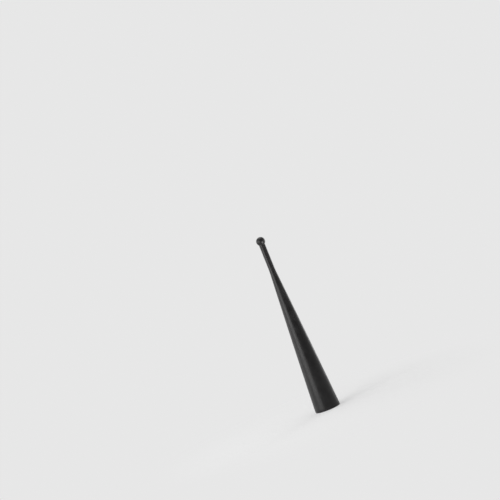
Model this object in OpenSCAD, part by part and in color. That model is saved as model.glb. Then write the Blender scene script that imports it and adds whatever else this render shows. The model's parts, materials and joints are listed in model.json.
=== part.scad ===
// Short moulded mast aerial for a car roof or wing.
// A threaded brass ferrule carries a thin glass fibre rod. Enamelled wire is wound round the rod,
// soldered to the ferrule and covered by a shrunk sleeve. Black rubber is moulded over all of it:
// a straight neck with a ball on top, and a flank that widens down to the round base.
// The frame has its origin at the centre of the base, with +Z up along the mast.

/* [Outside] */
// Height from the base to the top of the ball
mast_h = 115; // [95:1:150]
// Diameter of the base
base_d = 16.2; // [15:0.1:20]
// Rounding of the base's lower edge
base_edge_r = 0.6; // [0.2:0.1:0.7]
// Diameter of the straight neck
neck_d = 3.8; // [3.4:0.1:5]
// Length of the straight neck, with the ball on it
neck_l = 22.5; // [15:0.1:30]
// Diameter of the ball at the tip
ball_d = 5.6; // [5.2:0.1:7]
// Radius of the blend between the neck and the ball
ball_blend_r = 0.5; // [0.2:0.1:1]
// How far the flank swells out past a straight cone
flank_swell = 0.15; // [0:0.05:0.6]
// Length of the soft bend where the flank meets the neck
flank_bend_l = 4; // [1:0.5:8]

/* [Base] */
// Width of the sealing lip round the base
lip_w = 1.3; // [0.9:0.1:1.4]
// Height of the sealing lip below the ferrule
lip_h = 0.4; // [0.2:0.1:1]

/* [Ferrule] */
// Diameter of the ferrule's flange
flange_d = 11; // [10:0.1:12]
// Thickness of the flange
flange_t = 1.2; // [0.8:0.1:2]
// Diameter of the ferrule's body
ferrule_d = 8.6; // [8:0.1:9.4]
// Length of the ferrule's body above the flange
ferrule_l = 17.5; // [17:0.5:22]
// Number of grooves in the knurled band
knurl_count = 30; // [16:1:36]
// Depth of the knurled grooves
knurl_depth = 0.35; // [0.2:0.05:0.5]
// Length of the knurled band
knurl_l = 9; // [5:0.5:10]
// Plain stretch between the flange and the knurled band
knurl_start = 1.4; // [0.5:0.1:1.8]
// Width of the ring groove that the rubber fills
groove_w = 2; // [1:0.1:2.5]
// Depth of the ring groove
groove_depth = 0.9; // [0.4:0.1:1.2]
// Plain stretch between the knurled band and the ring groove
groove_start = 1.4; // [0.8:0.1:2]
// Bevel of the ferrule's edges
ferrule_bevel = 0.4; // [0.2:0.1:0.6]
// Diameter of the collar that grips the rod
collar_d = 4.6; // [4.4:0.1:6]
// Height of the collar
collar_l = 6; // [5:0.5:8]
// Tapping diameter of the threaded hole, for an M5 stud
tap_d = 4.2; // [4.1:0.05:4.5]
// Depth of the threaded hole
tap_l = 12; // [10:0.5:12.5]
// Bevel at the mouth of the threaded hole
tap_bevel = 0.5; // [0.2:0.1:0.8]
// Point angle of the drill that made the hole
drill_point_angle = 118; // [110:1:140]

/* [Core] */
// Diameter of the glass fibre rod
rod_d = 1.6; // [1.4:0.1:1.7]
// Length of rod held in the ferrule
rod_grip_l = 7.5; // [5:0.5:7.5]
// Rubber left above the top of the rod
rod_cover = 2.8; // [2:0.1:4]
// Bevel at the ends of the rod
rod_bevel = 0.2; // [0.1:0.05:0.3]
// Diameter of the wire
wire_d = 0.3; // [0.2:0.05:0.3]
// Pitch of the close turns in the lower part
close_pitch = 1; // [0.8:0.1:1.5]
// Number of close turns
close_turns = 30; // [20:1:32]
// Pitch of the open turns in the upper part
open_pitch = 2.4; // [2:0.1:4]
// Height of the solder on the collar, which the foot of the wire stands in
solder_h = 1; // [0.8:0.1:1.5]
// Length of rod that stays bare above the winding
bare_end_l = 2.4; // [2.2:0.1:4]
// Wall of the shrunk sleeve
sleeve_t = 0.15; // [0.1:0.01:0.18]
// Length of the sleeve that grips the collar
sleeve_grip_l = 4; // [2:0.5:4.5]
// Length of each taper in the sleeve
sleeve_taper_l = 1.8; // [1.2:0.1:2]
// Room between pieces that are moulded or pressed together
fit_gap = 0.03; // [0.02:0.01:0.05]

/* [Hidden] */
$fn = 96;

// Steps of the drawn curves
flank_steps = 28;
arc_steps = 10;
ball_steps = 20;
wire_sides = 6;
turn_steps = 10;
bend_steps = 6;
// How far a cut runs past the surface that it opens
overcut = 1;

base_r = base_d / 2;
neck_r = neck_d / 2;
ball_r = ball_d / 2;
neck_z = mast_h - neck_l;
ball_z = mast_h - ball_r;

// Levels of the ferrule, from its lower face up
flange_z = lip_h;
body_z = flange_z + flange_t;
knurl_z = body_z + knurl_start;
groove_z = knurl_z + knurl_l + groove_start;
shoulder_z = body_z + ferrule_l;
collar_z = shoulder_z + collar_l;
socket_z = collar_z - rod_grip_l;
tap_z = flange_z + tap_l;
ferrule_r = ferrule_d / 2;
collar_r = collar_d / 2;
tap_r = tap_d / 2;

// Levels of the rod, the wire and the sleeve
rod_r = rod_d / 2;
rod_z = socket_z + fit_gap;
rod_top_z = mast_h - rod_cover;
wire_r = wire_d / 2;
foot_z = collar_z + fit_gap;
coil_z = foot_z + solder_h + 2 * wire_d;
coil_top_z = rod_top_z - bare_end_l;
close_l = close_pitch * close_turns;
open_turns = floor((coil_top_z - wire_r - coil_z - close_l) / open_pitch);
// The coil is drawn with straight stretches, and its radius keeps their middles clear of the rod
coil_r = (rod_r + fit_gap + wire_r) / cos(180 / turn_steps);
coil_outer_r = coil_r + wire_r + fit_gap;
solder_r = collar_r - ferrule_bevel;
solder_top_r = (solder_r + coil_outer_r) / 2;

// Points of an arc round a centre, from one angle to another
function arc(centre, radius, from, to, steps, first = 0) =
    [for (i = [first : steps]) let (a = from + (to - from) * i / steps)
        centre + radius * [cos(a), sin(a)]];

// Radius of the flank at a height
function flank_r(z) =
    let (u = (z - base_edge_r) / (neck_z - base_edge_r))
    base_r + (neck_r - base_r) * u + 4 * flank_swell * u * (1 - u);

// Point of a soft bend between two points, pulled towards a corner
function bend(a, corner, b, t) =
    a * pow(1 - t, 2) + corner * 2 * t * (1 - t) + b * pow(t, 2);

// Outline of the rubber from the base's rim to the top of the ball
function rubber_outline() =
    let (
        blend_r = neck_r + ball_blend_r,
        reach = ball_r + ball_blend_r,
        blend_z = ball_z - sqrt(reach * reach - blend_r * blend_r),
        blend_angle = atan2(ball_z - blend_z, -blend_r),
        bend_low_z = neck_z - flank_bend_l / 2,
        bend_high_z = neck_z + flank_bend_l / 2,
        low = [flank_r(bend_low_z), bend_low_z],
        high = [neck_r, bend_high_z]
    )
    concat(
        arc([flank_r(base_edge_r) - base_edge_r, base_edge_r], base_edge_r, -90, 0, arc_steps),
        [for (i = [1 : flank_steps - 1]) let (z = base_edge_r + (bend_low_z - base_edge_r) * i / flank_steps)
            [flank_r(z), z]],
        [for (i = [0 : bend_steps]) bend(low, [neck_r, neck_z], high, i / bend_steps)],
        arc([blend_r, blend_z], ball_blend_r, 180, blend_angle, arc_steps),
        arc([0, ball_z], ball_r, blend_angle - 180, 90, ball_steps, first = 1)
    );

// Outline of the sleeve's bore, moved out by the given amount
function sleeve_outline(out) =
    [
        [collar_r + fit_gap + out, collar_z - sleeve_grip_l],
        [collar_r + fit_gap + out, collar_z],
        [coil_outer_r + out, collar_z + solder_h + sleeve_taper_l],
        [coil_outer_r + out, coil_top_z],
        [rod_r + fit_gap + out, coil_top_z + sleeve_taper_l],
    ];

// Black rubber moulding with the ball, the neck, the flank and the sealing lip
module mast_sheath() {
    color([0.06, 0.06, 0.065])
    difference() {
        rotate_extrude() polygon(concat([[0, 0]], rubber_outline()));
        base_dish();
        ferrule_outside(fit_gap);
        sleeve_room();
        rod_room();
    }
}

// Shallow dish inside the sealing lip
module base_dish() {
    translate([0, 0, -overcut]) cylinder(h = lip_h + overcut, r = base_r - lip_w);
}

// Space in the rubber for the sleeve
module sleeve_room() {
    outline = sleeve_outline(sleeve_t + fit_gap);
    low = outline[0];
    top = outline[len(outline) - 1];
    rotate_extrude()
        polygon(concat(
            [[0, low.y - fit_gap], [low.x, low.y - fit_gap]],
            outline,
            [[top.x, top.y + fit_gap], [0, top.y + fit_gap]]
        ));
}

// Space in the rubber for the bare end of the rod
module rod_room() {
    translate([0, 0, collar_z]) cylinder(h = rod_top_z + fit_gap - collar_z, r = rod_r + fit_gap);
}

// Outside of the ferrule, grown by a gap where it shapes the rubber round it
module ferrule_outside(grow) {
    difference() {
        rotate_extrude() polygon([
            [0, flange_z - grow],
            [flange_d / 2 + grow, flange_z - grow],
            [flange_d / 2 + grow, body_z + grow],
            [ferrule_r + grow, body_z + grow],
            [ferrule_r + grow, groove_z + grow],
            [ferrule_r - groove_depth + grow, groove_z + grow],
            [ferrule_r - groove_depth + grow, groove_z + groove_w - grow],
            [ferrule_r + grow, groove_z + groove_w - grow],
            [ferrule_r + grow, shoulder_z - ferrule_bevel],
            [ferrule_r - ferrule_bevel + grow, shoulder_z + grow],
            [collar_r + grow, shoulder_z + grow],
            [collar_r + grow, collar_z - ferrule_bevel],
            [collar_r - ferrule_bevel + grow, collar_z + grow],
            [0, collar_z + grow],
        ]);
        for (i = [0 : knurl_count - 1]) rotate([0, 0, i * 360 / knurl_count]) knurl_groove(grow);
    }
}

// One V groove of the knurled band
module knurl_groove(grow) {
    depth = knurl_depth;
    half_w = PI * ferrule_r / knurl_count / 2;
    translate([0, 0, knurl_z + grow])
        linear_extrude(knurl_l - 2 * grow)
            polygon([
                [ferrule_r - depth + grow, 0],
                [ferrule_r + depth + grow, 2 * half_w],
                [ferrule_r + depth + grow, -2 * half_w],
            ]);
}

// Brass ferrule with the threaded hole below and the rod's socket above
module threaded_ferrule() {
    color([0.78, 0.62, 0.34])
    difference() {
        ferrule_outside(0);
        translate([0, 0, flange_z - overcut]) cylinder(h = tap_l + overcut, r = tap_r);
        translate([0, 0, flange_z - tap_bevel])
            cylinder(h = 2 * tap_bevel, r1 = tap_r + 2 * tap_bevel, r2 = tap_r);
        translate([0, 0, tap_z]) cylinder(h = tap_r / tan(drill_point_angle / 2), r1 = tap_r, r2 = 0);
        translate([0, 0, socket_z]) cylinder(h = rod_grip_l + overcut, r = rod_r + fit_gap);
    }
}

// Glass fibre rod from the ferrule's socket into the ball
module core_rod() {
    color([0.86, 0.84, 0.68])
    rotate_extrude() polygon([
        [0, rod_z],
        [rod_r - rod_bevel, rod_z],
        [rod_r, rod_z + rod_bevel],
        [rod_r, rod_top_z - rod_bevel],
        [rod_r - rod_bevel, rod_top_z],
        [0, rod_top_z],
    ]);
}

// Height of the wire's centre after a number of turns
function coil_height(turn) =
    coil_z + min(turn, close_turns) * close_pitch + max(turn - close_turns, 0) * open_pitch;

// Path of the wire: a straight foot in the solder, then the turns up the rod
function wire_path() =
    concat(
        [[coil_r, 0, foot_z], [coil_r, 0, coil_z - wire_d]],
        [for (i = [1 : turn_steps * (close_turns + open_turns)]) let (turn = i / turn_steps)
            [coil_r * cos(360 * turn), coil_r * sin(360 * turn), coil_height(turn)]]
    );

// Ring of points round one point of a path, square to the way the path runs there
function wire_ring(path, i) =
    let (
        ahead = path[min(i + 1, len(path) - 1)] - path[max(i - 1, 0)],
        way = ahead / norm(ahead),
        radial = [path[i].x, path[i].y, 0] / norm([path[i].x, path[i].y]),
        down = cross(way, radial),
        side = down / norm(down),
        outward = cross(side, way)
    )
    [for (k = [0 : wire_sides - 1]) let (a = 360 * k / wire_sides)
        path[i] + wire_r * (cos(a) * outward + sin(a) * side)];

// Enamelled wire wound round the rod, close below and open above
module wire_winding() {
    path = wire_path();
    points = [for (i = [0 : len(path) - 1]) each wire_ring(path, i)];
    last = (len(path) - 1) * wire_sides;
    faces = concat(
        [[for (k = [0 : wire_sides - 1]) k]],
        [for (i = [0 : len(path) - 2]) for (k = [0 : wire_sides - 1])
            let (next = (k + 1) % wire_sides, low = i * wire_sides, high = low + wire_sides)
            each [[low + k, high + k, high + next], [low + k, high + next, low + next]]],
        [[for (k = [wire_sides - 1 : -1 : 0]) last + k]]
    );
    color([0.72, 0.38, 0.2]) polyhedron(points = points, faces = faces, convexity = 10);
}

// Solder cone on the collar, round the rod and the wire's foot, with a slot where they lie
module solder_joint() {
    color([0.72, 0.73, 0.75])
    difference() {
        rotate_extrude() polygon([
            [rod_r + fit_gap, collar_z],
            [solder_r, collar_z],
            [solder_top_r, collar_z + solder_h],
            [rod_r + fit_gap, collar_z + solder_h],
        ]);
        translate([0, 0, collar_z - overcut]) linear_extrude(solder_h + 2 * overcut) {
            translate([coil_r, 0]) circle(wire_r + fit_gap);
            translate([0, -wire_r - fit_gap]) square([coil_r, wire_d + 2 * fit_gap]);
        }
    }
}

// Shrunk sleeve over the winding, the solder and the collar
module shrink_sleeve() {
    inner = sleeve_outline(0);
    outer = sleeve_outline(sleeve_t);
    color([0.1, 0.1, 0.11])
    rotate_extrude()
        polygon(concat(inner, [for (i = [len(outer) - 1 : -1 : 0]) outer[i]]));
}

mast_sheath();
threaded_ferrule();
core_rod();
wire_winding();
solder_joint();
shrink_sleeve();
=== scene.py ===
# Looks of a short moulded rubber mast aerial, built over its packed frame.
# Every size is in metres, with the origin at the centre of the base and +Z up along the mast.

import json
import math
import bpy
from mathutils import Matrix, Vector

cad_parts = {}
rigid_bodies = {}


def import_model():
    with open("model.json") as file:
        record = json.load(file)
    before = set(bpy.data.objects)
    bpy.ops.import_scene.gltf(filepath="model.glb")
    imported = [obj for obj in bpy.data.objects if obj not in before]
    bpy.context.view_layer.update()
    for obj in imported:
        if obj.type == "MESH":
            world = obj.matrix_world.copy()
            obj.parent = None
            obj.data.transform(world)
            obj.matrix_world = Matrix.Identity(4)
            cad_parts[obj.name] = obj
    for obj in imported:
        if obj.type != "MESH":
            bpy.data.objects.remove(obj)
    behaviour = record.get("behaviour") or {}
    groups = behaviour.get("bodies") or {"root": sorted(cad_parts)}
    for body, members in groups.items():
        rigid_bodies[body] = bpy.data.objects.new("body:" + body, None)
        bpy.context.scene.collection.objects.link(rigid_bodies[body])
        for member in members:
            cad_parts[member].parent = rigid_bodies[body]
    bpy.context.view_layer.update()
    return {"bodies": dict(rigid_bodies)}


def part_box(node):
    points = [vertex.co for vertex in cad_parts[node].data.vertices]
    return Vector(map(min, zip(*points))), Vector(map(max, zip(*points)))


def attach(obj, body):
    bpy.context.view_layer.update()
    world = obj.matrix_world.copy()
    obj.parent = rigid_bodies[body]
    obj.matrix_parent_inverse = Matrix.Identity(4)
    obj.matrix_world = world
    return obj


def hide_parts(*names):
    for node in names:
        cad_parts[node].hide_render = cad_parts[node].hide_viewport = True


bl_info = {
    "name": "Moulded mast aerial",
    "version": (1, 0, 0),
    "blender": (4, 5, 0),
    "location": "View3D > Sidebar > Mast aerial",
    "description": "Builds a rubber mast aerial with its ferrule, rod, winding and sleeve",
    "category": "Object",
}

import bmesh
import bpy
from bpy.props import FloatProperty, FloatVectorProperty, IntProperty, PointerProperty
from bpy.types import Operator, Panel, PropertyGroup
from mathutils import Matrix, Quaternion, Vector

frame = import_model()
MM = 0.001
# Nothing on the mast moves, so all of it is one body
BODY = next(iter(frame["bodies"]))
# Steps round the mast from one knurled groove to the next
KNURL_STEPS = 8
# Steps round the rod, round the solder and the sleeve, and in each turn of the thread
ROD_STEPS = 48
TUBE_STEPS = 64
THREAD_STEPS = 32
# Vertices closer than this are joined
JOIN_GAP = 0.001 * MM
# A vertex within this distance of a row or a radius lies on it
NEAR = 0.01 * MM

# Lowest and highest corner of each solid, which the pieces take their places from
MAST_LOW, MAST_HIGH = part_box("mast_sheath")
FERRULE_LOW, FERRULE_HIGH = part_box("threaded_ferrule")
ROD_LOW, ROD_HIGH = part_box("core_rod")
COIL_LOW, COIL_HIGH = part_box("wire_winding")
SOLDER_LOW, SOLDER_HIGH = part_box("solder_joint")
SLEEVE_LOW, SLEEVE_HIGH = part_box("shrink_sleeve")


def size(name, description, default):
    """A length that a user can change."""
    return FloatProperty(
        name=name, description=description, default=default, min=0, precision=5, unit="LENGTH",
    )


def amount(name, description, default):
    """A share from 0 to 1 that a user can change."""
    return FloatProperty(name=name, description=description, default=default, min=0, max=1, subtype="FACTOR")


def colour(name, description, default):
    """A colour that a user can change."""
    return FloatVectorProperty(
        name=name, description=description, default=default, min=0, max=1, subtype="COLOR",
    )


def angle(name, description, degrees):
    """An angle that a user can change."""
    return FloatProperty(name=name, description=description, default=math.radians(degrees), subtype="ANGLE")


def count(name, description, default):
    """A number of things that a user can change."""
    return IntProperty(name=name, description=description, default=default, min=1)


def power(name, description, default):
    """The power of a lamp that a user can change."""
    return FloatProperty(name=name, description=description, default=default, min=0, unit="POWER")


class RubberSettings(PropertyGroup):
    """Sizes and finish of the rubber moulding."""

    height: size("Height", "From the base to the top of the ball", MAST_HIGH.z)
    base_d: size("Base", "Diameter of the base", MAST_HIGH.x - MAST_LOW.x)
    edge_r: size("Base edge", "Rounding of the base's lower edge", 0.6 * MM)
    neck_d: size("Neck", "Diameter of the straight neck", 3.8 * MM)
    neck_l: size("Neck length", "Length of the straight neck, with the ball", 22.5 * MM)
    ball_d: size("Ball", "Diameter of the ball at the tip", 5.6 * MM)
    blend_r: size("Ball blend", "Radius of the blend between neck and ball", 0.5 * MM)
    swell: size("Flank swell", "How far the flank swells past a straight cone", 0.15 * MM)
    bend_l: size("Flank bend", "Length of the soft bend between flank and neck", 4 * MM)
    lip_w: size("Lip width", "Width of the sealing lip", 1.3 * MM)
    lip_edge_r: size("Lip edge", "Rounding of the lip's inner edge", 0.12 * MM)
    black: colour("Rubber", "Colour of the rubber", (0.0088, 0.0083, 0.0085))
    bloom: colour("Bloom", "Paler colour of the faint bloom on the rubber", (0.0128, 0.0123, 0.0126))
    shine: amount("Roughness", "Mean roughness of the skin", 0.34)
    grain: size("Grain", "Height of the moulded grain", 0.006 * MM)
    seam_w: size("Seam width", "Width of the ridge where the mould's halves met", 0.12 * MM)
    seam_h: size("Seam height", "Height of that ridge", 0.04 * MM)
    seam_top: size("Seam end", "Distance of that ridge's ends from the top of the ball", 0.5 * MM)


class FerruleSettings(PropertyGroup):
    """Sizes and finish of the threaded ferrule."""

    flange_t: size("Flange", "Thickness of the flange", 1.2 * MM)
    body_d: size("Body", "Diameter of the body", 8.6 * MM)
    body_l: size("Body length", "Length of the body above the flange", 17.5 * MM)
    knurls: count("Knurls", "Number of grooves in the knurled band", 30)
    knurl_depth: size("Knurl depth", "Depth of the knurled grooves", 0.35 * MM)
    knurl_l: size("Knurl length", "Length of the knurled band", 9 * MM)
    knurl_start: size("Knurl start", "Plain stretch below the knurled band", 1.4 * MM)
    groove_w: size("Groove", "Width of the ring groove", 2 * MM)
    groove_depth: size("Groove depth", "Depth of the ring groove", 0.9 * MM)
    groove_start: size("Groove start", "Plain stretch below the ring groove", 1.4 * MM)
    bevel: size("Bevel", "Bevel of the upper edges", 0.4 * MM)
    edge: size("Edge", "Small bevel of the flange's edges", 0.12 * MM)
    collar_d: size("Collar", "Diameter of the collar", 4.6 * MM)
    thread_d: size("Thread", "Outer diameter of the thread", 5 * MM)
    thread_pitch: size("Pitch", "Pitch of the thread", 0.8 * MM)
    thread_angle: angle("Thread angle", "Angle between the flanks of the thread", 60)
    thread_root: size("Thread root", "How deep the thread's ridge is rooted in the wall", 0.05 * MM)
    thread_l: size("Thread length", "Length of full thread", 10.4 * MM)
    tap_d: size("Tapping hole", "Diameter of the hole inside the thread", 4.2 * MM)
    tap_l: size("Hole depth", "Depth of the hole", 12 * MM)
    tap_bevel: size("Mouth bevel", "Bevel at the mouth of the hole", 0.5 * MM)
    drill_angle: angle("Drill point", "Point angle of the drill", 118)
    rod_grip_l: size("Socket", "Depth of the rod's socket", 7.5 * MM)
    brass: colour("Brass", "Colour of the bright brass", (0.74, 0.52, 0.23))
    tarnish: colour("Tarnish", "Colour where the brass has dulled", (0.56, 0.37, 0.15))


class CoreSettings(PropertyGroup):
    """Sizes and finishes of the rod, the wire, the solder and the sleeve."""

    rod_bevel: size("Rod bevel", "Bevel at the ends of the rod", 0.2 * MM)
    wire_d: size("Wire", "Diameter of the wire", 0.3 * MM)
    close_pitch: size("Close pitch", "Pitch of the close turns", 1 * MM)
    close_turns: count("Close turns", "Number of close turns", 30)
    open_pitch: size("Open pitch", "Pitch of the open turns", 2.4 * MM)
    open_turns: count("Open turns", "Number of open turns", 22)
    turn_steps: count("Turn steps", "Steps in each turn of wire", 20)
    wire_sides: count("Wire sides", "Sides of the wire", 8)
    foot_bend_r: size("Foot bend", "Radius of the bend above the wire's straight foot", 0.36 * MM)
    crown_h: size("Solder crown", "Height of the solder's rounded top", 0.15 * MM)
    sleeve_t: size("Sleeve wall", "Wall of the shrunk sleeve", 0.15 * MM)
    sleeve_lead_l: size("Sleeve lead", "Straight stretch of the sleeve above the collar", 0.3 * MM)
    sleeve_taper_l: size("Sleeve taper", "Length of each taper in the sleeve", 1.8 * MM)
    fit_gap: size("Gap", "Room between pieces that lie against each other", 0.03 * MM)
    fibre: colour("Glass fibre", "Colour of the rod", (0.7, 0.66, 0.42))
    enamel: colour("Enamelled wire", "Colour of the wire", (0.5, 0.2, 0.08))
    solder: colour("Solder", "Colour of the solder", (0.56, 0.57, 0.6))
    sleeve: colour("Sleeve", "Colour of the sleeve", (0.022, 0.022, 0.024))


class StageSettings(PropertyGroup):
    """The floor, the light and the camera."""

    camera_x: FloatProperty(
        name="Camera offset", description="How far to the side it stands", default=-8.2 * MM, unit="LENGTH",
    )
    camera_distance: size("Camera distance", "How far in front of the mast it stands", 0.6)
    camera_height: size("Camera height", "How far above the floor it stands", 81.4 * MM)
    camera_pitch: angle("Camera pitch", "How far it looks up", 2.7)
    camera_roll: angle("Camera roll", "How far the mast leans to the left in the picture", 21.9)
    lens: FloatProperty(name="Lens", description="Focal length", default=68.95, unit="CAMERA")
    floor_r: size("Floor", "Radius of the floor", 3)
    floor_grey: amount("Floor grey", "Share of the light that the floor throws back", 0.78)
    floor_blend: amount("Floor blend", "Share of the backdrop in the floor beside the mast", 0.35)
    shadow_r: size("Shadow reach", "Radius of the floor that takes the mast's shadow", 0.12)
    shadow_core: amount("Shadow core", "Share of that radius in which the shadow is deepest", 0.3)
    key_power: power("Key lamp", "Power of the lamp in front on the left", 3.4)
    side_power: power("Side lamp", "Power of the wide lamp on the left", 2)
    back_power: power("Back lamp", "Power of the tall lamp behind on the right", 0.8)
    top_power: power("Top lamp", "Power of the lamp overhead", 2.4)
    low_power: power("Low lamp", "Power of the small lamp that shines up at the ball", 0.023)
    backdrop: amount("Backdrop", "Brightness of the pale backdrop and the far floor", 0.8)
    front: amount("Front", "Share of the backdrop's brightness on the side of the camera", 0.2)
    world_grey: amount("World", "Brightness of the light from all round", 0.45)


# Outlines, as points at a distance from the axis and a height

def arc(centre, radius, start, end, steps):
    """Points of an arc between two angles in degrees, both ends included."""
    angles = [math.radians(start + (end - start) * i / steps) for i in range(steps + 1)]
    return [(centre[0] + radius * math.cos(a), centre[1] + radius * math.sin(a)) for a in angles]


def flank_radius(rubber, z):
    """Radius of the flank at a height: a cone with a slight swell."""
    neck_z = rubber.height - rubber.neck_l
    share = (z - rubber.edge_r) / (neck_z - rubber.edge_r)
    cone = rubber.base_d / 2 + (rubber.neck_d - rubber.base_d) / 2 * share
    return cone + 4 * rubber.swell * share * (1 - share)


def bend(start, corner, end, steps):
    """Points of a soft bend from start to end, pulled towards a corner."""
    points = []
    for i in range(steps + 1):
        t = i / steps
        points.append(tuple(
            (1 - t) ** 2 * first + 2 * t * (1 - t) * middle + t ** 2 * last
            for first, middle, last in zip(start, corner, end)
        ))
    return points


def skin_outline(rubber):
    """Outside of the rubber, from the base's rest ring to the top of the ball."""
    neck_r = rubber.neck_d / 2
    ball_r = rubber.ball_d / 2
    neck_z = rubber.height - rubber.neck_l
    ball_z = rubber.height - ball_r
    # The centre from which the blend's arc touches both the neck and the ball
    blend_x = neck_r + rubber.blend_r
    blend_z = ball_z - math.sqrt((ball_r + rubber.blend_r) ** 2 - blend_x ** 2)
    blend_angle = math.degrees(math.atan2(ball_z - blend_z, -blend_x))
    low_z = neck_z - rubber.bend_l / 2
    bend_low = (flank_radius(rubber, low_z), low_z)
    bend_high = (neck_r, neck_z + rubber.bend_l / 2)
    flank_steps = 48
    flank_zs = [rubber.edge_r + (low_z - rubber.edge_r) * i / flank_steps for i in range(1, flank_steps)]
    return (
        arc((rubber.base_d / 2 - rubber.edge_r, rubber.edge_r), rubber.edge_r, -90, 0, steps=10)
        + [(flank_radius(rubber, z), z) for z in flank_zs]
        + bend(bend_low, (neck_r, neck_z), bend_high, steps=10)
        + arc((blend_x, blend_z), rubber.blend_r, 180, blend_angle, steps=8)
        + arc((0, ball_z), ball_r, blend_angle - 180, 90, steps=32)[1:]
    )


def ferrule_outline(ferrule, grow):
    """Outside of the ferrule, from the flange's lower edge to the collar's top, grown by a gap."""
    flange_r = FERRULE_HIGH.x + grow
    body_r = ferrule.body_d / 2 + grow
    collar_r = ferrule.collar_d / 2 + grow
    body_z = FERRULE_LOW.z + ferrule.flange_t
    groove_z = body_z + ferrule.knurl_start + ferrule.knurl_l + ferrule.groove_start
    shoulder_z = body_z + ferrule.body_l
    return [
        (flange_r - ferrule.edge, FERRULE_LOW.z),
        (flange_r, FERRULE_LOW.z + ferrule.edge),
        (flange_r, body_z + grow - ferrule.edge),
        (flange_r - ferrule.edge, body_z + grow),
        (body_r, body_z + grow),
        *knurl_rows(ferrule, body_r, body_z),
        (body_r, groove_z + grow),
        (body_r - ferrule.groove_depth, groove_z + grow),
        (body_r - ferrule.groove_depth, groove_z + ferrule.groove_w - grow),
        (body_r, groove_z + ferrule.groove_w - grow),
        (body_r, shoulder_z - ferrule.bevel),
        (body_r - ferrule.bevel, shoulder_z + grow),
        (collar_r, shoulder_z + grow),
        (collar_r, FERRULE_HIGH.z - ferrule.bevel),
        (collar_r - ferrule.bevel, FERRULE_HIGH.z + grow),
    ]


def knurl_rows(ferrule, radius, body_z):
    """The four rows of the knurled band: its ends, and where its grooves reach full depth."""
    low = body_z + ferrule.knurl_start
    high = low + ferrule.knurl_l
    run_in = ferrule.knurl_depth
    return [(radius, z) for z in (low, low + run_in, high - run_in, high)]


def sleeve_outline(core, ferrule, out):
    """Bore of the sleeve from its lower end up, moved out by the given amount."""
    collar_r = ferrule.collar_d / 2 + core.fit_gap + out
    coil_r = COIL_HIGH.x + core.fit_gap + out
    rod_r = ROD_HIGH.x + core.fit_gap + out
    coil_top_z = SLEEVE_HIGH.z - core.sleeve_taper_l
    return (
        [(collar_r, SLEEVE_LOW.z), (collar_r, FERRULE_HIGH.z)]
        + bend(
            (collar_r, FERRULE_HIGH.z + core.sleeve_lead_l),
            (coil_r, SOLDER_HIGH.z + core.sleeve_taper_l / 2),
            (coil_r, SOLDER_HIGH.z + core.sleeve_taper_l),
            steps=6,
        )
        + [(coil_r, coil_top_z), (rod_r, SLEEVE_HIGH.z)]
    )


def hollow_outline(rubber, ferrule, core):
    """Inside of the rubber, from the top of the rod's room down to the rest ring."""
    gap = core.fit_gap
    dish_r = rubber.base_d / 2 - rubber.lip_w
    lip_z = FERRULE_LOW.z
    rod_room_r = ROD_HIGH.x + gap
    sleeve_room = sleeve_outline(core, ferrule, core.sleeve_t + gap)
    sleeve_room_r = sleeve_room[0][0]
    sleeve_room_z = SLEEVE_LOW.z - gap
    # All of the ferrule but the flange's lower edge and the collar's end, which is inside the sleeve
    seat = ferrule_outline(ferrule, gap)[1:-2]
    return (
        [(0, ROD_HIGH.z + gap), (rod_room_r, ROD_HIGH.z + gap), (rod_room_r, SLEEVE_HIGH.z + gap)]
        + sleeve_room[::-1]
        + [(sleeve_room_r, sleeve_room_z), (ferrule.collar_d / 2 + gap, sleeve_room_z)]
        + seat[::-1]
        + [(FERRULE_HIGH.x + gap, lip_z), (dish_r, lip_z)]
        + arc((dish_r + rubber.lip_edge_r, rubber.lip_edge_r), rubber.lip_edge_r, 180, 270, steps=4)
    )


# Modelling steps that the pieces share

def new_outline(mesh, points, closed=False):
    """Vertices and edges through an outline's points, in the plane of X and Z."""
    verts = [mesh.verts.new((x, 0, z)) for x, z in points]
    pairs = list(zip(verts, verts[1:]))
    if closed:
        pairs.append((verts[-1], verts[0]))
    return verts + [mesh.edges.new(pair) for pair in pairs]


def turn(mesh, geometry, steps):
    """Spins an outline once round the mast's axis and closes the seam and the poles."""
    bmesh.ops.spin(
        mesh, geom=geometry, cent=(0, 0, 0), axis=(0, 0, 1), dvec=(0, 0, 0),
        angle=math.tau, steps=steps, use_merge=True,
    )
    bmesh.ops.remove_doubles(mesh, verts=mesh.verts, dist=JOIN_GAP)
    bmesh.ops.recalc_face_normals(mesh, faces=mesh.faces)


def wind(mesh, geometry, pitch, turns, turn_steps):
    """Spins an outline up round the mast's axis and returns its last copy."""
    steps = round(turns * turn_steps)
    spun = bmesh.ops.spin(
        mesh, geom=geometry, cent=(0, 0, 0), axis=(0, 0, 1), dvec=(0, 0, pitch / turn_steps),
        angle=math.tau * steps / turn_steps, steps=steps, use_merge=False,
    )
    return spun["geom_last"]


def cap_ends(mesh):
    """Closes the open ends of a tube."""
    open_edges = [edge for edge in mesh.edges if edge.is_boundary]
    bmesh.ops.holes_fill(mesh, edges=open_edges, sides=0)


def round_steps(ferrule):
    """Steps round the ferrule and the rubber on it, so that both follow every knurled groove."""
    return KNURL_STEPS * ferrule.knurls


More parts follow.
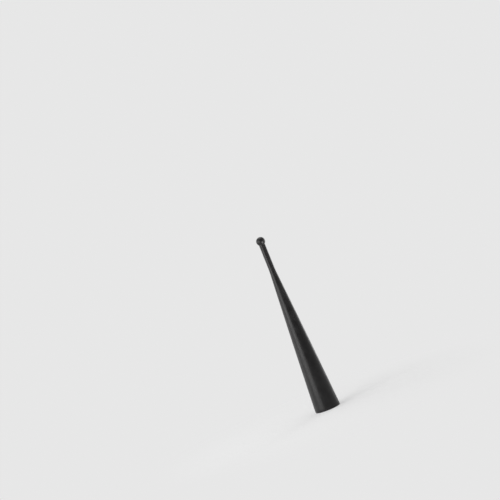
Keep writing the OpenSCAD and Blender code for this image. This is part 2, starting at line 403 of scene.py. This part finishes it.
def cut_knurls(mesh, ferrule, grow):
    """Presses the knurled band's V grooves in, at half depth beside their bottoms."""
    body_r = ferrule.body_d / 2 + grow
    body_z = FERRULE_LOW.z + ferrule.flange_t
    # The grooves are at full depth between the two inner rows
    deep_rows = [z for _, z in knurl_rows(ferrule, body_r, body_z)][1:3]
    half_depth = ferrule.knurl_depth / 2
    depths = {0: ferrule.knurl_depth, 1: half_depth, KNURL_STEPS - 1: half_depth}
    for vert in mesh.verts:
        on_row = any(abs(vert.co.z - z) < NEAR for z in deep_rows)
        if on_row and abs(vert.co.xy.length - body_r) < NEAR:
            share = math.atan2(vert.co.y, vert.co.x) / math.tau
            step = round(share * round_steps(ferrule)) % KNURL_STEPS
            vert.co.xy *= 1 - depths.get(step, 0) / body_r


def seam_parts(mesh, rubber):
    """Vertices, edges and faces of the rubber's outside that the mould's ridge runs over."""
    mesh.normal_update()
    top_z = rubber.height - rubber.seam_top
    # The outside faces away from the axis, while the inside faces it or lies square to it
    least_outward = 0.1
    faces = []
    for face in mesh.faces:
        middle = face.calc_center_median()
        outward = face.normal.xy.dot(middle.xy.normalized())
        if outward > least_outward and rubber.edge_r < middle.z < top_z:
            faces.append(face)
    edges = {edge for face in faces for edge in face.edges}
    verts = {vert for face in faces for vert in face.verts}
    return verts, edges, faces


def raise_seam(mesh, rubber):
    """Raises the fine ridge where the mould's halves met, in the plane of X and Z."""
    half_w = rubber.seam_w / 2
    # A vertex this near to a cut is taken as lying on it, so that no thin slivers are left
    snap = rubber.seam_w / 6
    for y in (-half_w, half_w):
        verts, edges, faces = seam_parts(mesh, rubber)
        bmesh.ops.bisect_plane(
            mesh, geom=[*verts, *edges, *faces], dist=snap, plane_co=(0, y, 0), plane_no=(0, 1, 0),
        )
    top_z = rubber.height - rubber.seam_top
    for vert in seam_parts(mesh, rubber)[0]:
        rise = rubber.seam_h * (1 - abs(vert.co.y) / half_w)
        if rise > 0 and rubber.edge_r < vert.co.z < top_z:
            vert.co += rise * vert.normal


def add_piece(mesh, name, node, material, sharp=30):
    """Makes the object that stands for a solid, with its edges sharp from the given degrees up."""
    bmesh.ops.recalc_face_normals(mesh, faces=mesh.faces)
    for face in mesh.faces:
        face.smooth = True
    for edge in mesh.edges:
        edge.smooth = edge.calc_face_angle(0) < math.radians(sharp)
    data = bpy.data.meshes.new(name)
    mesh.to_mesh(data)
    mesh.free()
    data.materials.append(material)
    piece = bpy.data.objects.new(name, data)
    bpy.context.scene.collection.objects.link(piece)
    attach(piece, BODY)
    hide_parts(node)
    return piece


# Materials

def new_material(name):
    """A material with its shader, and the object coordinates that its patterns read."""
    material = bpy.data.materials.new(name)
    material.use_nodes = True
    tree = material.node_tree
    shader = tree.nodes["Principled BSDF"]
    place = tree.nodes.new("ShaderNodeTexCoord").outputs["Object"]
    return material, tree, shader, place


def stretched(tree, place, scale):
    """The coordinates stretched along each axis."""
    mapping = tree.nodes.new("ShaderNodeMapping")
    mapping.inputs["Scale"].default_value = scale
    tree.links.new(place, mapping.inputs["Vector"])
    return mapping.outputs["Vector"]


def noise(tree, place, feature, detail=3):
    """Noise whose features have about the given size."""
    texture = tree.nodes.new("ShaderNodeTexNoise")
    texture.inputs["Scale"].default_value = 1 / feature
    texture.inputs["Detail"].default_value = detail
    tree.links.new(place, texture.inputs["Vector"])
    return texture.outputs["Fac"]


def turned_rings(tree, place, spacing):
    """Rings round the mast's axis, as a lathe leaves them on a face."""
    wave = tree.nodes.new("ShaderNodeTexWave")
    wave.wave_type = "RINGS"
    wave.rings_direction = "Z"
    # The texture's own rings, at a scale of 1, are this far apart
    own_spacing = math.tau / 20
    wave.inputs["Scale"].default_value = own_spacing / spacing
    wave.inputs["Distortion"].default_value = 0.6
    tree.links.new(place, wave.inputs["Vector"])
    return wave.outputs["Fac"]


def spread(tree, value, given, wanted=(0, 1)):
    """Maps a value smoothly from the given range to the wanted one."""
    ramp = tree.nodes.new("ShaderNodeMapRange")
    ramp.interpolation_type = "SMOOTHSTEP"
    settings = {"From Min": given[0], "From Max": given[1], "To Min": wanted[0], "To Max": wanted[1]}
    for socket, number in settings.items():
        ramp.inputs[socket].default_value = number
    tree.links.new(value, ramp.inputs["Value"])
    return ramp.outputs["Result"]


def shade(tint, times):
    """A colour made paler or darker by a factor."""
    return tuple(min(1, times * part) for part in tint)


def blended(tree, share, first, second):
    """Blends two colours by a share."""
    mix = tree.nodes.new("ShaderNodeMix")
    mix.data_type = "RGBA"
    mix.inputs["A"].default_value = (*first, 1)
    mix.inputs["B"].default_value = (*second, 1)
    tree.links.new(share, mix.inputs["Factor"])
    return mix.outputs["Result"]


def raised(tree, height, distance, below=None):
    """A bump of the given height, on top of another bump."""
    bump = tree.nodes.new("ShaderNodeBump")
    bump.inputs["Distance"].default_value = distance
    tree.links.new(height, bump.inputs["Height"])
    if below:
        tree.links.new(below, bump.inputs["Normal"])
    return bump.outputs["Normal"]


def dress(tree, shader, tint, rough, relief=None):
    """Links a finish's colour, roughness and relief to its shader."""
    tree.links.new(tint, shader.inputs["Base Color"])
    tree.links.new(rough, shader.inputs["Roughness"])
    if relief:
        tree.links.new(relief, shader.inputs["Normal"])


def rubber_material(rubber):
    """Black rubber with a fine moulded grain and a faint bloom."""
    material, tree, shader, place = new_material("moulded_rubber")
    clouds = noise(tree, place, feature=5 * MM)
    grain = noise(tree, place, feature=0.14 * MM, detail=2)
    ripple = noise(tree, stretched(tree, place, (1, 1, 0.15)), feature=3 * MM, detail=1)
    bloom = spread(tree, clouds, (0.42, 0.7))
    rough = spread(tree, clouds, (0.3, 0.7), (rubber.shine - 0.05, rubber.shine + 0.07))
    skin = raised(tree, ripple, 1.5 * rubber.grain)
    skin = raised(tree, grain, rubber.grain, skin)
    dress(tree, shader, blended(tree, bloom, rubber.black, rubber.bloom), rough, skin)
    shader.inputs["Specular IOR Level"].default_value = 0.3
    return material


def brass_material(ferrule):
    """Turned brass with fine tool rings, dulled in places."""
    material, tree, shader, place = new_material("turned_brass")
    rings = turned_rings(tree, place, spacing=0.11 * MM)
    clouds = noise(tree, place, feature=1.8 * MM)
    scuffs = noise(tree, stretched(tree, place, (1, 1, 6)), feature=0.5 * MM, detail=4)
    dull = spread(tree, clouds, (0.42, 0.68))
    tint = blended(tree, dull, ferrule.brass, ferrule.tarnish)
    rough = spread(tree, scuffs, (0.3, 0.7), (0.2, 0.36))
    dress(tree, shader, tint, rough, raised(tree, rings, 0.004 * MM))
    shader.inputs["Metallic"].default_value = 1
    return material


def fibre_material(core):
    """Pale glass fibre with streaks along the rod."""
    material, tree, shader, place = new_material("glass_fibre")
    streaks = noise(tree, stretched(tree, place, (1, 1, 0.02)), feature=0.12 * MM, detail=2)
    pale = spread(tree, streaks, (0.35, 0.65))
    tint = blended(tree, pale, core.fibre, shade(core.fibre, 1.25))
    rough = spread(tree, streaks, (0.3, 0.7), (0.25, 0.45))
    dress(tree, shader, tint, rough, raised(tree, streaks, 0.004 * MM))
    shader.inputs["Subsurface Weight"].default_value = 0.15
    shader.inputs["Subsurface Radius"].default_value = (0.4 * MM, 0.35 * MM, 0.2 * MM)
    return material


def enamel_material(core):
    """Copper wire under clear amber enamel."""
    material, tree, shader, place = new_material("enamelled_copper")
    clouds = noise(tree, place, feature=0.9 * MM, detail=2)
    amber = spread(tree, clouds, (0.4, 0.7))
    tint = blended(tree, amber, core.enamel, shade(core.enamel, 0.6))
    dress(tree, shader, tint, spread(tree, clouds, (0.3, 0.7), (0.25, 0.4)))
    shader.inputs["Metallic"].default_value = 1
    shader.inputs["Coat Weight"].default_value = 0.8
    shader.inputs["Coat Roughness"].default_value = 0.1
    return material


def solder_material(core):
    """Soft solder, bright where it flowed and dull where it cooled slowly."""
    material, tree, shader, place = new_material("soft_solder")
    frost = noise(tree, place, feature=0.25 * MM, detail=4)
    dull = spread(tree, frost, (0.45, 0.65))
    tint = blended(tree, dull, core.solder, shade(core.solder, 0.7))
    rough = spread(tree, frost, (0.35, 0.65), (0.18, 0.42))
    dress(tree, shader, tint, rough, raised(tree, frost, 0.01 * MM))
    shader.inputs["Metallic"].default_value = 1
    return material


def sleeve_material(core):
    """Black shrunk tube with faint creases round it."""
    material, tree, shader, place = new_material("shrunk_sleeve")
    creases = noise(tree, stretched(tree, place, (1, 1, 3)), feature=0.8 * MM)
    worn = spread(tree, creases, (0.45, 0.7))
    tint = blended(tree, worn, core.sleeve, shade(core.sleeve, 1.6))
    rough = spread(tree, creases, (0.3, 0.7), (0.35, 0.5))
    dress(tree, shader, tint, rough, raised(tree, creases, 0.01 * MM))
    return material


# The stage

def any_of(tree, *values):
    """1 where any of the values is 1."""
    total = values[0]
    for value in values[1:]:
        either = tree.nodes.new("ShaderNodeMath")
        either.operation = "MAXIMUM"
        tree.links.new(total, either.inputs[0])
        tree.links.new(value, either.inputs[1])
        total = either.outputs["Value"]
    return total


def floor_material(stage):
    """Pale floor that takes the mast's shadow, and fades into the backdrop."""
    material, tree, shader, place = new_material("floor")
    output = tree.nodes["Material Output"]
    tree.nodes.remove(shader)
    matt = tree.nodes.new("ShaderNodeBsdfDiffuse")
    matt.inputs["Color"].default_value = (stage.floor_grey, stage.floor_grey, stage.floor_grey, 1)
    white = tree.nodes.new("ShaderNodeEmission")
    white.inputs["Strength"].default_value = stage.backdrop
    distance = tree.nodes.new("ShaderNodeVectorMath")
    distance.operation = "LENGTH"
    tree.links.new(place, distance.inputs[0])
    edge = (stage.shadow_core * stage.shadow_r, stage.shadow_r)
    far = spread(tree, distance.outputs["Value"], edge, (stage.floor_blend, 1))
    seen = tree.nodes.new("ShaderNodeLightPath").outputs
    background = any_of(tree, seen["Is Camera Ray"], seen["Is Glossy Ray"], seen["Is Transmission Ray"])
    share = tree.nodes.new("ShaderNodeMath")
    share.operation = "MULTIPLY"
    tree.links.new(far, share.inputs[0])
    tree.links.new(background, share.inputs[1])
    blend = tree.nodes.new("ShaderNodeMixShader")
    tree.links.new(share.outputs["Value"], blend.inputs["Fac"])
    tree.links.new(matt.outputs["BSDF"], blend.inputs[1])
    tree.links.new(white.outputs["Emission"], blend.inputs[2])
    tree.links.new(blend.outputs["Shader"], output.inputs["Surface"])
    return material


def add_floor(stage):
    """A round floor under the base."""
    mesh = bmesh.new()
    bmesh.ops.create_circle(mesh, cap_ends=True, radius=stage.floor_r, segments=96)
    data = bpy.data.meshes.new("floor")
    mesh.to_mesh(data)
    mesh.free()
    data.materials.append(floor_material(stage))
    floor = bpy.data.objects.new("floor", data)
    bpy.context.scene.collection.objects.link(floor)


def add_lamp(name, place, aim, watts, width, height, beam=180):
    """A soft rectangular lamp that faces a point on the mast, with a beam of the given degrees."""
    lamp = bpy.data.lights.new(name, "AREA")
    lamp.shape = "RECTANGLE"
    lamp.size = width
    lamp.size_y = height
    lamp.energy = watts
    lamp.spread = math.radians(beam)
    holder = bpy.data.objects.new(name, lamp)
    holder.location = place
    holder.visible_camera = False
    holder.rotation_euler = (Vector(aim) - Vector(place)).to_track_quat("-Z", "Y").to_euler()
    bpy.context.scene.collection.objects.link(holder)


def add_lamps(stage, rubber):
    """Lamps on the left, behind on the right, overhead, and low on the right below the ball."""
    middle = Vector((0, 0, MAST_HIGH.z / 2))
    ball = Vector((0, 0, rubber.height - rubber.ball_d / 2))
    add_lamp("key_lamp", (-0.455, -0.38, 0.095), middle, stage.key_power, width=0.42, height=0.65)
    add_lamp("low_lamp", (0.086, -0.086, 0.02), ball, stage.low_power, width=0.1, height=0.075, beam=40)
    add_lamp("side_lamp", (-0.62, 0.05, 0.16), middle, stage.side_power, width=0.9, height=0.7)
    add_lamp("back_lamp", (0.42, 0.5, 0.16), middle, stage.back_power, width=0.24, height=0.6)
    add_lamp("top_lamp", (0, 0.1, 0.8), middle, stage.top_power, width=0.6, height=0.6)


def set_world(stage):
    """A pale backdrop that is darker on the side of the camera, and an even light from all round."""
    world = bpy.data.worlds.new("studio")
    bpy.context.scene.world = world
    world.use_nodes = True
    tree = world.node_tree
    light = tree.nodes["Background"]
    light.inputs["Color"].default_value = (1, 1, 1, 1)
    light.inputs["Strength"].default_value = stage.world_grey
    white = tree.nodes.new("ShaderNodeBackground")
    white.inputs["Color"].default_value = (1, 1, 1, 1)
    seen = tree.nodes.new("ShaderNodeLightPath").outputs
    away = tree.nodes.new("ShaderNodeSeparateXYZ")
    tree.links.new(tree.nodes.new("ShaderNodeTexCoord").outputs["Generated"], away.inputs["Vector"])
    # The backdrop is dimmest behind the camera, and at full brightness from just past the mast's sides
    lit = spread(tree, away.outputs["Y"], (-0.9, 0.1), (stage.front * stage.backdrop, stage.backdrop))
    strength = tree.nodes.new("ShaderNodeMix")
    strength.inputs["B"].default_value = stage.backdrop
    tree.links.new(seen["Is Camera Ray"], strength.inputs["Factor"])
    tree.links.new(lit, strength.inputs["A"])
    tree.links.new(strength.outputs["Result"], white.inputs["Strength"])
    background = any_of(tree, seen["Is Camera Ray"], seen["Is Glossy Ray"], seen["Is Transmission Ray"])
    blend = tree.nodes.new("ShaderNodeMixShader")
    tree.links.new(background, blend.inputs["Fac"])
    tree.links.new(light.outputs["Background"], blend.inputs[1])
    tree.links.new(white.outputs["Background"], blend.inputs[2])
    tree.links.new(blend.outputs["Shader"], tree.nodes["World Output"].inputs["Surface"])


def add_camera(stage):
    """The camera, rolled so that the mast leans to the left."""
    lens = bpy.data.cameras.new("camera")
    lens.lens = stage.lens
    lens.sensor_width = 36
    lens.clip_start = 0.01
    camera = bpy.data.objects.new("camera", lens)
    camera.location = (stage.camera_x, -stage.camera_distance, stage.camera_height)
    look = Vector((0, math.cos(stage.camera_pitch), math.sin(stage.camera_pitch)))
    level = look.to_track_quat("-Z", "Y")
    camera.rotation_euler = (level @ Quaternion((0, 0, 1), -stage.camera_roll)).to_euler()
    bpy.context.scene.collection.objects.link(camera)
    bpy.context.scene.camera = camera


# Operators

class MAST_OT_add_rubber(Operator):
    """Adds the rubber moulding with its ball, neck, flank and sealing lip."""

    bl_idname = "mast_aerial.add_rubber"
    bl_label = "Add rubber moulding"

    def execute(self, context):
        rubber = context.scene.mast_rubber
        ferrule = context.scene.mast_ferrule
        core = context.scene.mast_core
        outline = hollow_outline(rubber, ferrule, core) + skin_outline(rubber)[1:]
        mesh = bmesh.new()
        turn(mesh, new_outline(mesh, outline), round_steps(ferrule))
        cut_knurls(mesh, ferrule, core.fit_gap)
        raise_seam(mesh, rubber)
        add_piece(mesh, "rubber_moulding", "mast_sheath", rubber_material(rubber))
        return {"FINISHED"}


class MAST_OT_add_ferrule(Operator):
    """Adds the brass ferrule with its knurled band and its threaded hole."""

    bl_idname = "mast_aerial.add_ferrule"
    bl_label = "Add threaded ferrule"

    def execute(self, context):
        ferrule = context.scene.mast_ferrule
        core = context.scene.mast_core
        mesh = bmesh.new()
        self.add_thread(mesh, ferrule)
        outline = self.hole(ferrule) + ferrule_outline(ferrule, 0) + self.socket(ferrule, core)
        turn(mesh, new_outline(mesh, outline), round_steps(ferrule))
        cut_knurls(mesh, ferrule, 0)
        add_piece(mesh, "brass_ferrule", "threaded_ferrule", brass_material(ferrule))
        return {"FINISHED"}

    def hole(self, ferrule):
        """The drilled hole from its point down to its mouth."""
        low = FERRULE_LOW.z
        tap_r = ferrule.tap_d / 2
        thread_r = ferrule.thread_d / 2
        mouth_r = tap_r + ferrule.tap_bevel
        full_z = low + ferrule.thread_l
        tap_z = low + ferrule.tap_l
        return [
            (0, tap_z + tap_r / math.tan(ferrule.drill_angle / 2)),
            (tap_r, tap_z),
            (tap_r, full_z + thread_r - tap_r),
            (thread_r, full_z),
            (thread_r, low + mouth_r - thread_r),
            (mouth_r, low),
        ]

    def socket(self, ferrule, core):
        """The rod's socket, from the collar's top down."""
        socket_r = ROD_HIGH.x + core.fit_gap
        socket_z = FERRULE_HIGH.z - ferrule.rod_grip_l
        return [(socket_r, FERRULE_HIGH.z), (socket_r, socket_z), (0, socket_z)]

    def add_thread(self, mesh, ferrule):
        """The thread's ridge, which fades into the bevel at the mouth of the hole."""
        low = FERRULE_LOW.z
        root_r = ferrule.thread_d / 2 + ferrule.thread_root
        crest_r = ferrule.tap_d / 2
        # The flat crest of a metric thread in a hole is a quarter of the pitch wide
        crest_half = ferrule.thread_pitch / 8
        root_half = crest_half + (root_r - crest_r) * math.tan(ferrule.thread_angle / 2)
        start_z = low + root_half
        profile = [
            (root_r, start_z - root_half),
            (crest_r, start_z - crest_half),
            (crest_r, start_z + crest_half),
            (root_r, start_z + root_half),
        ]
        turns = ferrule.thread_l / ferrule.thread_pitch
        wind(mesh, new_outline(mesh, profile, closed=True), ferrule.thread_pitch, turns, THREAD_STEPS)
        cap_ends(mesh)
        mouth_r = crest_r + ferrule.tap_bevel
        for vert in mesh.verts:
            radius = vert.co.xy.length
            cone_r = min(mouth_r - (vert.co.z - low), root_r)
            if radius < cone_r:
                vert.co.xy *= cone_r / radius


class MAST_OT_add_rod(Operator):
    """Adds the glass fibre rod."""

    bl_idname = "mast_aerial.add_rod"
    bl_label = "Add core rod"

    def execute(self, context):
        core = context.scene.mast_core
        radius = ROD_HIGH.x
        outline = [
            (0, ROD_LOW.z),
            (radius - core.rod_bevel, ROD_LOW.z),
            (radius, ROD_LOW.z + core.rod_bevel),
            (radius, ROD_HIGH.z - core.rod_bevel),
            (radius - core.rod_bevel, ROD_HIGH.z),
            (0, ROD_HIGH.z),
        ]
        mesh = bmesh.new()
        turn(mesh, new_outline(mesh, outline), ROD_STEPS)
        add_piece(mesh, "fibre_rod", "core_rod", fibre_material(core))
        return {"FINISHED"}


class MAST_OT_add_winding(Operator):
    """Adds the wire wound round the rod, close below and open above, with its foot in the solder."""

    bl_idname = "mast_aerial.add_winding"
    bl_label = "Add wire winding"

    def execute(self, context):
        core = context.scene.mast_core
        wire_r = core.wire_d / 2
        coil_r = ROD_HIGH.x + core.fit_gap + wire_r
        turned_l = core.close_turns * core.close_pitch + core.open_turns * core.open_pitch
        start_z = COIL_HIGH.z - wire_r - turned_l
        mesh = bmesh.new()
        upright = Matrix.Translation((coil_r, 0, start_z)) @ Matrix.Rotation(math.radians(90), 4, "X")
        bmesh.ops.create_circle(mesh, radius=wire_r, segments=core.wire_sides, matrix=upright)
        start = mesh.verts[:] + mesh.edges[:]
        first = bmesh.ops.duplicate(mesh, geom=start)["geom"]
        last = wind(mesh, start, core.close_pitch, core.close_turns, core.turn_steps)
        wind(mesh, last, core.open_pitch, core.open_turns, core.turn_steps)
        self.bend_foot(mesh, first, coil_r, start_z, core)
        bmesh.ops.remove_doubles(mesh, verts=mesh.verts, dist=JOIN_GAP)
        cap_ends(mesh)
        add_piece(mesh, "wire_coil", "wire_winding", enamel_material(core), sharp=70)
        return {"FINISHED"}

    def bend_foot(self, mesh, loop, coil_r, start_z, core):
        """Bends the lower end of the wire down and runs it straight into the solder."""
        bend_z = start_z - core.foot_bend_r
        bent = bmesh.ops.spin(
            mesh, geom=loop, cent=(coil_r, 0, bend_z), axis=(1, 0, 0), dvec=(0, 0, 0),
            angle=math.radians(90), steps=6, use_merge=False,
        )["geom_last"]
        edges = [part for part in bent if isinstance(part, bmesh.types.BMEdge)]
        down = bmesh.ops.extrude_edge_only(mesh, edges=edges)["geom"]
        verts = [part for part in down if isinstance(part, bmesh.types.BMVert)]
        bmesh.ops.translate(mesh, vec=(0, 0, COIL_LOW.z - bend_z), verts=verts)


class MAST_OT_add_solder(Operator):
    """Adds the solder that joins the wire's foot to the ferrule."""

    bl_idname = "mast_aerial.add_solder"
    bl_label = "Add solder joint"

    def execute(self, context):
        core = context.scene.mast_core
        rod_r = ROD_HIGH.x
        top_r = rod_r + 2 * core.wire_d
        crown_z = SOLDER_HIGH.z - core.crown_h
        fillet = bend((SOLDER_HIGH.x, SOLDER_LOW.z), (top_r, SOLDER_LOW.z), (top_r, crown_z), steps=8)
        crown = bend((top_r, crown_z), (top_r, SOLDER_HIGH.z), (rod_r, SOLDER_HIGH.z), steps=5)
        outline = [(rod_r, SOLDER_LOW.z)] + fillet + crown[1:]
        mesh = bmesh.new()
        turn(mesh, new_outline(mesh, outline, closed=True), TUBE_STEPS)
        add_piece(mesh, "solder_fillet", "solder_joint", solder_material(core))
        return {"FINISHED"}


class MAST_OT_add_sleeve(Operator):
    """Adds the shrunk sleeve over the winding."""

    bl_idname = "mast_aerial.add_sleeve"
    bl_label = "Add shrunk sleeve"

    def execute(self, context):
        core = context.scene.mast_core
        ferrule = context.scene.mast_ferrule
        inner = sleeve_outline(core, ferrule, 0)
        outer = sleeve_outline(core, ferrule, core.sleeve_t)
        mesh = bmesh.new()
        turn(mesh, new_outline(mesh, inner + outer[::-1], closed=True), TUBE_STEPS)
        add_piece(mesh, "shrunk_sleeve", "shrink_sleeve", sleeve_material(core))
        return {"FINISHED"}


class MAST_OT_set_stage(Operator):
    """Adds the floor, the lamps, the world and the camera."""

    bl_idname = "mast_aerial.set_stage"
    bl_label = "Set stage"

    def execute(self, context):
        stage = context.scene.mast_stage
        context.scene.view_settings.view_transform = "Standard"
        add_floor(stage)
        add_lamps(stage, context.scene.mast_rubber)
        set_world(stage)
        add_camera(stage)
        return {"FINISHED"}


OPERATORS = (
    MAST_OT_add_rubber,
    MAST_OT_add_ferrule,
    MAST_OT_add_rod,
    MAST_OT_add_winding,
    MAST_OT_add_solder,
    MAST_OT_add_sleeve,
    MAST_OT_set_stage,
)

SETTINGS = {
    "mast_rubber": RubberSettings,
    "mast_ferrule": FerruleSettings,
    "mast_core": CoreSettings,
    "mast_stage": StageSettings,
}


class MAST_PT_sidebar(Panel):
    """Lists the pieces, and the sizes and colours that they are made from."""

    bl_label = "Mast aerial"
    bl_idname = "MAST_PT_sidebar"
    bl_space_type = "VIEW_3D"
    bl_region_type = "UI"
    bl_category = "Mast aerial"

    def draw(self, context):
        for operator in OPERATORS:
            self.layout.operator(operator.bl_idname)
        for name, group in SETTINGS.items():
            box = self.layout.box()
            box.label(text=group.__doc__)
            for setting in group.__annotations__:
                box.prop(getattr(context.scene, name), setting)


CLASSES = (*SETTINGS.values(), *OPERATORS, MAST_PT_sidebar)


def register():
    for cls in CLASSES:
        bpy.utils.register_class(cls)
    for name, group in SETTINGS.items():
        setattr(bpy.types.Scene, name, PointerProperty(type=group))


def unregister():
    for name in SETTINGS:
        delattr(bpy.types.Scene, name)
    for cls in reversed(CLASSES):
        bpy.utils.unregister_class(cls)


def main():
    register()
    bpy.ops.mast_aerial.add_rubber()
    bpy.ops.mast_aerial.add_ferrule()
    bpy.ops.mast_aerial.add_rod()
    bpy.ops.mast_aerial.add_winding()
    bpy.ops.mast_aerial.add_solder()
    bpy.ops.mast_aerial.add_sleeve()
    bpy.ops.mast_aerial.set_stage()


if __name__ == "__main__":
    main()
